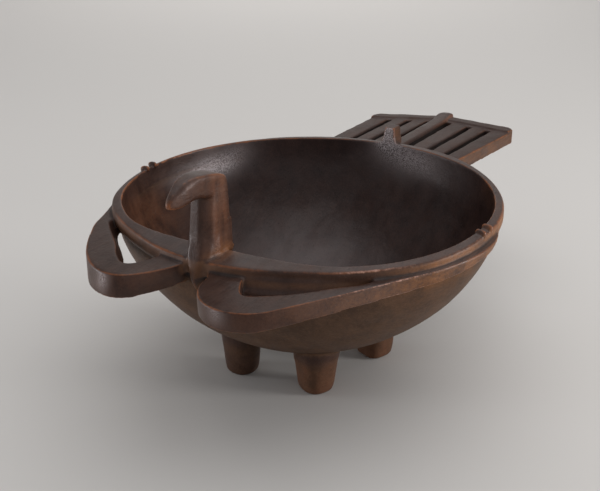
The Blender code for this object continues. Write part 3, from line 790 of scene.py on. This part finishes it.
def loose_parts(mesh):
    """Meshes of the separate bodies in mesh, largest first; specks are left out."""
    pairs = np.empty(len(mesh.edges) * 2, np.int32)
    mesh.edges.foreach_get("vertices", pairs)
    a, b = pairs.reshape(-1, 2).T
    label = np.arange(len(mesh.vertices))
    while True:
        lowest = np.minimum(label[a], label[b])
        new = label.copy()
        np.minimum.at(new, a, lowest)
        np.minimum.at(new, b, lowest)
        new = new[new]
        if (new == label).all():
            break
        label = new
    values, sizes = np.unique(label, return_counts=True)
    parts = []
    for value in values[np.argsort(-sizes)]:
        keep = label == value
        if keep.sum() < SPECK:
            break
        bm = bmesh.new()
        bm.from_mesh(mesh)
        bm.verts.ensure_lookup_table()
        gone = [bm.verts[i] for i in np.flatnonzero(~keep)]
        bmesh.ops.delete(bm, geom=gone, context="VERTS")
        part = bpy.data.meshes.new("part")
        bm.to_mesh(part)
        bm.free()
        parts.append(part)
    return parts


def merged(meshes):
    bm = bmesh.new()
    for mesh in meshes:
        bm.from_mesh(mesh)
    whole = bpy.data.meshes.new("part")
    bm.to_mesh(whole)
    bm.free()
    return whole


def middle(mesh):
    q = (points_of(mesh) - (0, AXIS_Y, 0)) / RADIUS
    return (q.min(0) + q.max(0)) / 2


def carve_apart(mesh):
    """One closed mesh for each CAD node, cut from the whole form along its carved boundaries."""
    body, rest = divide(mesh, body_cutter())
    below = in_metres(box_cutter((-2, -2, -1), (2, 2, SEAM)))
    pieces = dict(zip(("bowl_vessel", "rim_band"), divide(body, below)))
    front, tail_end = [], []
    for part in loose_parts(rest):
        x, y, z = middle(part)
        side = "left" if x > 0 else "right"
        if z < 0.4:
            pieces[f"foot_{'front' if y < 0 else 'rear'}_{side}"] = part
        elif y > 0.9:
            tail_end.append(part)
        elif z > 0.97 and abs(x) > 0.8:
            number = 1 if f"rim_bar_{side}_1" not in pieces else 2
            pieces[f"rim_bar_{side}_{number}"] = part
        else:
            front.append(part)
    for side in ("left", "right"):
        first, second = (pieces[f"rim_bar_{side}_{n}"] for n in (1, 2))
        if middle(first)[1] > middle(second)[1]:
            pieces[f"rim_bar_{side}_1"], pieces[f"rim_bar_{side}_2"] = second, first

    tab = in_metres(box_cutter((-0.2, 0.8, 0.965), (0.2, 1.09, 1.3)))
    pieces["rear_lug"], slats = divide(merged(tail_end), tab)
    over_rim = in_metres(box_cutter((-2, -2, RIM_TOP + CUT_MARGIN), (2, 0, 2)))
    upper, lower = divide(merged(front), over_rim)
    throat = in_metres(box_cutter((-1, -1.03, 0.9), (1, 0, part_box("head_and_beak")[0].z / RADIUS)))
    pieces["neck"], pieces["head_and_beak"] = divide(upper, throat)
    pieces["keel"], wings = divide(lower, keel_cutter())
    for part in loose_parts(wings)[:2]:
        pieces["wing_left" if middle(part)[0] > 0 else "wing_right"] = part
    pieces["tail_rib"], slats = divide(slats, rib_cutter())
    pieces["tail_end_bar"], pieces["tail_panel"] = divide(slats, end_bar_cutter())
    return pieces


def without_folds(mesh):
    """The largest body of mesh as triangles, without slivers folded flat on each other."""
    bm = bmesh.new()
    bm.from_mesh(mesh)
    bmesh.ops.remove_doubles(bm, verts=bm.verts, dist=WELD)
    bmesh.ops.triangulate(bm, faces=bm.faces)
    bm.faces.ensure_lookup_table()
    bm.to_mesh(mesh)
    corners = np.empty(len(mesh.loops), np.int32)
    mesh.loops.foreach_get("vertex_index", corners)
    corners = np.sort(corners.reshape(-1, 3).astype(np.int64), 1)
    size = len(mesh.vertices)
    key = (corners[:, 0] * size + corners[:, 1]) * size + corners[:, 2]
    _, which, count = np.unique(key, return_inverse=True, return_counts=True)
    folded = [bm.faces[i] for i in np.flatnonzero(count[which] > 1)]
    bmesh.ops.delete(bm, geom=folded, context="FACES")
    bm.to_mesh(mesh)
    bm.free()
    return loose_parts(mesh)[0]


def paint_of(mesh):
    """Paint masks of mesh as columns of one array; the last three are the smooth normal."""
    paint = np.empty((len(PAINT) + 3, len(mesh.vertices)))
    for row, name in zip(paint, PAINT):
        mesh.attributes[name].data.foreach_get("value", row)
    normal = np.empty(len(mesh.vertices) * 3)
    mesh.attributes["smooth"].data.foreach_get("vector", normal)
    paint[-3:] = normal.reshape(-1, 3).T
    return paint.T.copy()


def restore_paint(mesh, tree, whole):
    """Points made by cutting have no paint, so they take that of the form's nearest points."""
    paint = paint_of(mesh)
    points = points_of(mesh)
    blank = np.flatnonzero(np.linalg.norm(paint[:, -3:], axis=1) < 0.5)
    for i in blank:
        close = tree.find_n(points[i], 3)
        weights = np.array([1 / (distance + WELD) for _, _, distance in close])
        paint[i] = weights @ whole[[index for _, index, _ in close]] / weights.sum()
    for column, name in zip(paint.T, PAINT):
        mesh.attributes[name].data.foreach_set("value", column.astype(np.float32))
    mesh.attributes["smooth"].data.foreach_set("vector", paint[:, -3:].astype(np.float32).ravel())


def point_tree(mesh):
    tree = KDTree(len(mesh.vertices))
    for i, place in enumerate(points_of(mesh)):
        tree.insert(place, i)
    tree.balance()
    return tree


def keep_cut_edges_crisp(mesh):
    """Smooth shading everywhere but along the boundary of the hidden cut faces."""
    mesh.shade_smooth()
    marks = np.empty(len(mesh.polygons), np.int32)
    mesh.attributes["cut"].data.foreach_get("value", marks)
    totals = np.empty(len(mesh.polygons), np.int32)
    mesh.polygons.foreach_get("loop_total", totals)
    edges = np.empty(len(mesh.loops), np.int32)
    mesh.loops.foreach_get("edge_index", edges)
    owner_mark = np.repeat(marks, totals)
    low = np.ones(len(mesh.edges), int)
    high = np.zeros(len(mesh.edges), int)
    np.minimum.at(low, edges, owner_mark)
    np.maximum.at(high, edges, owner_mark)
    sharp = mesh.attributes.get("sharp_edge") or mesh.attributes.new("sharp_edge", "BOOLEAN", "EDGE")
    sharp.data.foreach_set("value", low != high)


SLOT_OF = {"neck": "red_brown_wood", "head_and_beak": "red_brown_wood", "rim_band": "worn_wood",
           "keel": "worn_wood", "tail_rib": "worn_wood", "rear_lug": "worn_wood",
           "tail_panel": "slat_wood", "tail_end_bar": "slat_wood"}


def slot_for(node):
    if node.startswith("foot"):
        return "red_brown_wood"
    return "worn_wood" if node.startswith("rim_bar") else SLOT_OF.get(node, "dark_polished_wood")


class Wiring:
    """Short names for the shader nodes that the wood is made of."""

    def __init__(self, tree):
        self.tree = tree

    def node(self, kind, inputs=(), **settings):
        made = self.tree.nodes.new("ShaderNode" + kind)
        for key, value in settings.items():
            setattr(made, key, value)
        for key, value in dict(inputs).items():
            if isinstance(value, bpy.types.NodeSocket):
                self.tree.links.new(value, made.inputs[key])
            else:
                made.inputs[key].default_value = value
        return made

    def math(self, operation, a, b=0.0, c=0.0, clamp=False):
        return self.node("Math", {0: a, 1: b, 2: c}, operation=operation, use_clamp=clamp).outputs[0]

    def step(self, low, high, value):
        """0 below low and 1 above high, with a soft change between."""
        return self.node("MapRange", {"Value": value, "From Min": low, "From Max": high},
                         interpolation_type="SMOOTHSTEP").outputs[0]

    def mix(self, share, a, b, blend="MIX"):
        made = self.node("Mix", {"Factor": share}, data_type="RGBA", blend_type=blend)
        for socket, value in ((made.inputs[6], a), (made.inputs[7], b)):
            if isinstance(value, bpy.types.NodeSocket):
                self.tree.links.new(value, socket)
            else:
                socket.default_value = (*value, 1)
        return made.outputs[2]

    def attribute(self, name):
        return self.node("Attribute", attribute_name=name).outputs["Fac"]

    def noise(self, where, scale, detail=3.0, roughness=0.55, distortion=0.0):
        return self.node("TexNoise", {"Vector": where, "Scale": scale, "Detail": detail,
                                      "Roughness": roughness, "Distortion": distortion}).outputs[0]

    def stretched(self, where, scale, turn=(0.0, 0.0, 0.0)):
        return self.node("Mapping", {"Vector": where, "Scale": scale, "Rotation": turn}).outputs[0]


SHEEN_TINT = (1.0, 0.885, 0.87, 1)
DARK = (0.026, 0.0130, 0.0100)
BROWN = (0.056, 0.0275, 0.0190)
RED = (0.115, 0.036, 0.018)
TAN = (0.160, 0.076, 0.040)
ORANGE = (0.215, 0.072, 0.025)
# Pale lines on edges: rubbed wear and painted edge highlights.
PALE_WEAR_GLINT = (0.46, 0.27, 0.21)
OUTER_DARK = (0.054, 0.0295, 0.0180)
OUTER_BROWN = (0.117, 0.0630, 0.0370)
INSIDE_DARK = (0.0135, 0.0062, 0.0052)
INSIDE_BROWN = (0.034, 0.0160, 0.0120)
# Pale grey painted into the colour as sheen and highlights.
SHEEN_GREY = (0.600, 0.525, 0.525)
GOLD = (0.270, 0.105, 0.030)
# Near-black painted shade for hollows and the tail's slots.
HOLLOW_SHADE = (0.008, 0.005, 0.004)
PORE = (0.006, 0.004, 0.003)


def wood(name, base_roughness=0.40, redness=0.0):
    """Dark carved wood with fibres along the bird's length, worn to orange on its edges; sheen, edge
    highlights and shade are painted into its colour.
    """
    material = bpy.data.materials.new(name)
    material.use_nodes = True
    w = Wiring(material.node_tree)
    where = w.node("TexCoord").outputs["Object"]
    along = w.stretched(where, (1, 0.05, 0.75))
    edge, form, inside, band, outer, warm, painted_sheen, rub_and_glint, gold = (w.attribute(key) for key in PAINT)

    cloud = w.noise(where, 13.0, 3.0, 0.6, 0.3)
    patch = w.noise(where, 48.0, 4.0, 0.6)
    speck = w.noise(where, 420.0, 2.0, 0.6)
    fibre = w.noise(along, 620.0, 4.0, 0.65)
    rings = w.noise(w.stretched(where, (1, 0.10, 0.55), (0.12, 0.0, 0.2)), 120.0, 2.0, 0.5, 0.6)
    pores = w.step(0.33, 0.24, w.noise(w.stretched(where, (1, 0.07, 1)), 1300.0, 1.0, 0.5))

    tone = w.math("ADD", w.math("MULTIPLY", fibre, 0.55), w.math("MULTIPLY", patch, 0.55))
    tone = w.math("ADD", tone, w.math("MULTIPLY", rings, 0.25))
    tone = w.step(0.45, 0.95, tone)
    colour = w.mix(tone, DARK, BROWN)
    inner = w.mix(tone, INSIDE_DARK, INSIDE_BROWN)
    colour = w.mix(inside, colour, inner)
    colour = w.mix(outer, colour, w.mix(tone, OUTER_DARK, OUTER_BROWN))
    streak = w.noise(w.stretched(where, (1, 1, 0.12)), 70.0, 3.0, 0.6)
    mottle = w.math("ADD", w.math("MULTIPLY", patch, 0.5), w.math("MULTIPLY", streak, 0.5))
    warmth = w.math("MULTIPLY", w.math("ADD", warm, redness), w.step(0.22, 0.66, mottle))
    colour = w.mix(warmth, colour, w.mix(fibre, RED, TAN))
    banded = w.math("MULTIPLY", band, w.step(0.25, 0.60, w.math("ADD", w.math(
        "MULTIPLY", cloud, 0.6), w.math("MULTIPLY", patch, 0.45))))
    colour = w.mix(w.math("MULTIPLY", banded, 0.75), colour, TAN)
    gilt = w.math("ADD", w.math("MULTIPLY", patch, 0.6), w.math("MULTIPLY", fibre, 0.4))
    gilt = w.math("MULTIPLY", gold, w.step(0.24, 0.74, gilt))
    colour = w.mix(w.math("MULTIPLY", gilt, 0.9), colour, GOLD)

    ragged = w.math("ADD", w.math("MULTIPLY_ADD", patch, 0.9, -0.45),
                    w.math("MULTIPLY_ADD", speck, 0.5, -0.25))
    # Painted sheen: speckled pale grey patches mixed into the colour.
    sheen_speckle = w.math("SUBTRACT", w.step(0.28, 0.66, w.noise(where, 1050.0, 1.0, 0.7)), 0.5)
    sheen_patches = w.math("MULTIPLY", painted_sheen, w.math("MULTIPLY_ADD", sheen_speckle, w.step(0.15, 0.60, painted_sheen), 0.5))
    colour = w.mix(w.math("MULTIPLY", sheen_patches, 0.92), colour, SHEEN_GREY)
    worn = w.step(0.62, 1.35, w.math("ADD", edge, ragged))
    colour = w.mix(w.math("MULTIPLY", worn, 0.80), colour, ORANGE)
    # Pale edge lines: rubbed wear, with painted highlights along the front right edges.
    high = w.math("ADD", edge, w.math("MULTIPLY_ADD", speck, 1.2, -0.6))
    high = w.step(1.30, 2.0, w.math("MULTIPLY_ADD", rub_and_glint, 0.52, high))
    colour = w.mix(w.math("MULTIPLY", high, w.math("MULTIPLY_ADD", rub_and_glint, 0.55, 0.25)), colour, PALE_WEAR_GLINT)
    # Painted shade: hollows and the walls of the tail's slots are darkened, less so where the wood is warm.
    hollow = w.step(0.10, 0.85, w.math("MULTIPLY", form, -1.0))
    hollow = w.math("MULTIPLY", hollow, w.math("MULTIPLY_ADD", warm, -0.85, 1.0))
    colour = w.mix(w.math("MULTIPLY", hollow, 0.75), colour, HOLLOW_SHADE)
    colour = w.mix(w.math("MULTIPLY", pores, 0.55), colour, PORE)

    gloss = w.math("MULTIPLY_ADD", patch, 0.26, base_roughness - 0.13)
    gloss = w.math("ADD", gloss, w.math("MULTIPLY_ADD", speck, 0.16, -0.08))
    gloss = w.math("MULTIPLY_ADD", outer, 0.14, gloss)
    gloss = w.math("MULTIPLY_ADD", band, 0.14, gloss)
    gloss = w.math("MULTIPLY_ADD", inside, -0.07, gloss)
    gloss = w.math("MULTIPLY_ADD", hollow, 0.2, gloss, clamp=True)
    grit = w.math("MULTIPLY", speck, w.math("MULTIPLY_ADD", inside, -0.16, 0.28))
    relief = w.math("ADD", w.math("MULTIPLY", fibre, 0.45), grit)
    relief = w.math("SUBTRACT", relief, w.math("MULTIPLY", pores, 0.5))
    relief = w.math("MULTIPLY_ADD", patch, 1.2, relief)
    whole = w.node("VectorMath", {0: w.node("Attribute", attribute_name="smooth").outputs["Vector"]},
                   operation="NORMALIZE").outputs[0]
    facing = w.mix(w.attribute("cut"), whole, w.node("NewGeometry").outputs["Normal"])
    bump = w.node("Bump", {"Strength": 0.35, "Distance": 0.0011, "Height": relief, "Normal": facing})
    shader = material.node_tree.nodes["Principled BSDF"]
    links = material.node_tree.links
    links.new(colour, shader.inputs["Base Color"])
    links.new(gloss, shader.inputs["Roughness"])
    links.new(bump.outputs[0], shader.inputs["Normal"])
    sheen = w.math("MULTIPLY_ADD", inside, -0.08, w.math("MULTIPLY_ADD", outer, -0.16, 0.31))
    smears = w.step(0.30, 0.70, w.noise(w.stretched(where, (1, 0.35, 1), (0, 0, 0.9)), 26.0, 4.0, 0.62, 0.8))
    sheen = w.math("MULTIPLY", sheen, w.math("MULTIPLY_ADD", smears, 0.55, 0.72))
    links.new(sheen, shader.inputs["Specular IOR Level"])
    shader.inputs["Specular Tint"].default_value = SHEEN_TINT
    return material


mesh = carved_form()
near = Neighbours(mesh)
points = near.relax(points_of(mesh), ROUNDING_STEPS)
mesh.vertices.foreach_set("co", points.ravel())
mesh.update()
points = uneven(points, normals_of(mesh))
mesh.vertices.foreach_set("co", points.ravel())
mesh.update()
store(mesh, zones(points, normals_of(mesh), near))
MATERIALS = {"dark_polished_wood": wood("dark_polished_wood"), "worn_wood": wood("worn_wood"),
             "red_brown_wood": wood("red_brown_wood", 0.41, 0.10),
             "slat_wood": wood("slat_wood", 0.48)}
mesh = lightened(mesh)
tree, whole = point_tree(mesh), paint_of(mesh)
for node, part in carve_apart(mesh).items():
    part = without_folds(part)
    restore_paint(part, tree, whole)
    keep_cut_edges_crisp(part)
    part.materials.clear()
    part.materials.append(MATERIALS[slot_for(node)])
    piece = new_object(f"carved_{node}", part)
    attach(piece, "root")
    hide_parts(node)


# ---- studio

def seamless():
    """Pale floor that curves up into a wall behind the bird, as one matte sheet."""
    turn = Matrix.Rotation(radians(30.3), 4, "Z")
    bend, back = 1.5, 3.4
    profile = [(-5.0, 0.0), (-1.5, 0.0), (0.5, 0.0)]
    for a in np.linspace(-pi / 2, 0, 24):
        profile.append((back + bend * cos(a), bend + bend * sin(a)))
    profile.append((back + bend, 5.0))
    sheet = bpy.data.meshes.new("seamless")
    verts = [turn @ Vector((x, y, z)) for y, z in profile for x in (-6, 6)]
    faces = [(2 * i, 2 * i + 1, 2 * i + 3, 2 * i + 2) for i in range(len(profile) - 1)]
    sheet.from_pydata(verts, [], faces)
    sheet.shade_smooth()
    paper = bpy.data.materials.new("grey_paper")
    paper.use_nodes = True
    shader = paper.node_tree.nodes["Principled BSDF"]
    shader.inputs["Base Color"].default_value = (0.60, 0.575, 0.55, 1)
    shader.inputs["Roughness"].default_value = 0.95
    shader.inputs["Specular IOR Level"].default_value = 0.1
    sheet.materials.append(paper)
    new_object("seamless", sheet)


def softbox(name, place, target, size, energy, colour=(1, 1, 1)):
    light = bpy.data.lights.new(name, "AREA")
    light.shape = "RECTANGLE"
    light.size, light.size_y = size
    light.energy = energy
    light.color = colour
    lamp = new_object(name, light)
    lamp.location = place
    lamp.rotation_euler = (Vector(target) - Vector(place)).to_track_quat("-Z", "Y").to_euler()


def studio():
    seamless()
    world = bpy.data.worlds.new("studio")
    bpy.context.scene.world = world
    world.use_nodes = True
    world.node_tree.nodes["Background"].inputs["Color"].default_value = (0.95, 0.97, 1.0, 1)
    world.node_tree.nodes["Background"].inputs["Strength"].default_value = 0.445
    bowl_middle = (0, AXIS_Y, 0.12)
    softbox("overhead", (0.22, 0.25, 1.9), bowl_middle, (2.6, 2.6), 23.5)
    softbox("right_side", (1.6, 0.50, 0.34), bowl_middle, (0.45, 0.4), 15)
    softbox("left_side", (-1.45, -0.95, 0.22), bowl_middle, (0.6, 0.3), 9, (0.95, 0.97, 1.0))
    softbox("background", (-1.4, 2.4, 2.2), (-2.1, 3.4, 0.0), (1.5, 1.5), 35)
    bpy.context.scene.view_settings.view_transform = "Standard"


def camera():
    azimuth, elevation = radians(30.2957), radians(23.8506)
    back = Vector((sin(azimuth) * cos(elevation), -cos(azimuth) * cos(elevation), sin(elevation)))
    right = Vector((cos(azimuth), sin(azimuth), 0))
    up = back.cross(right)
    place = RADIUS * (back * 4.638 + right * -0.0496 + up * -0.2966 + Vector((0, 0, 1.0008)))
    place.y += AXIS_Y
    lens = bpy.data.cameras.new("camera")
    lens.lens = 52.74
    lens.sensor_width = 36
    eye = new_object("camera", lens)
    eye.matrix_world = Matrix.Translation(place) @ Matrix((right, up, back)).transposed().to_4x4()
    bpy.context.scene.camera = eye


studio()
camera()
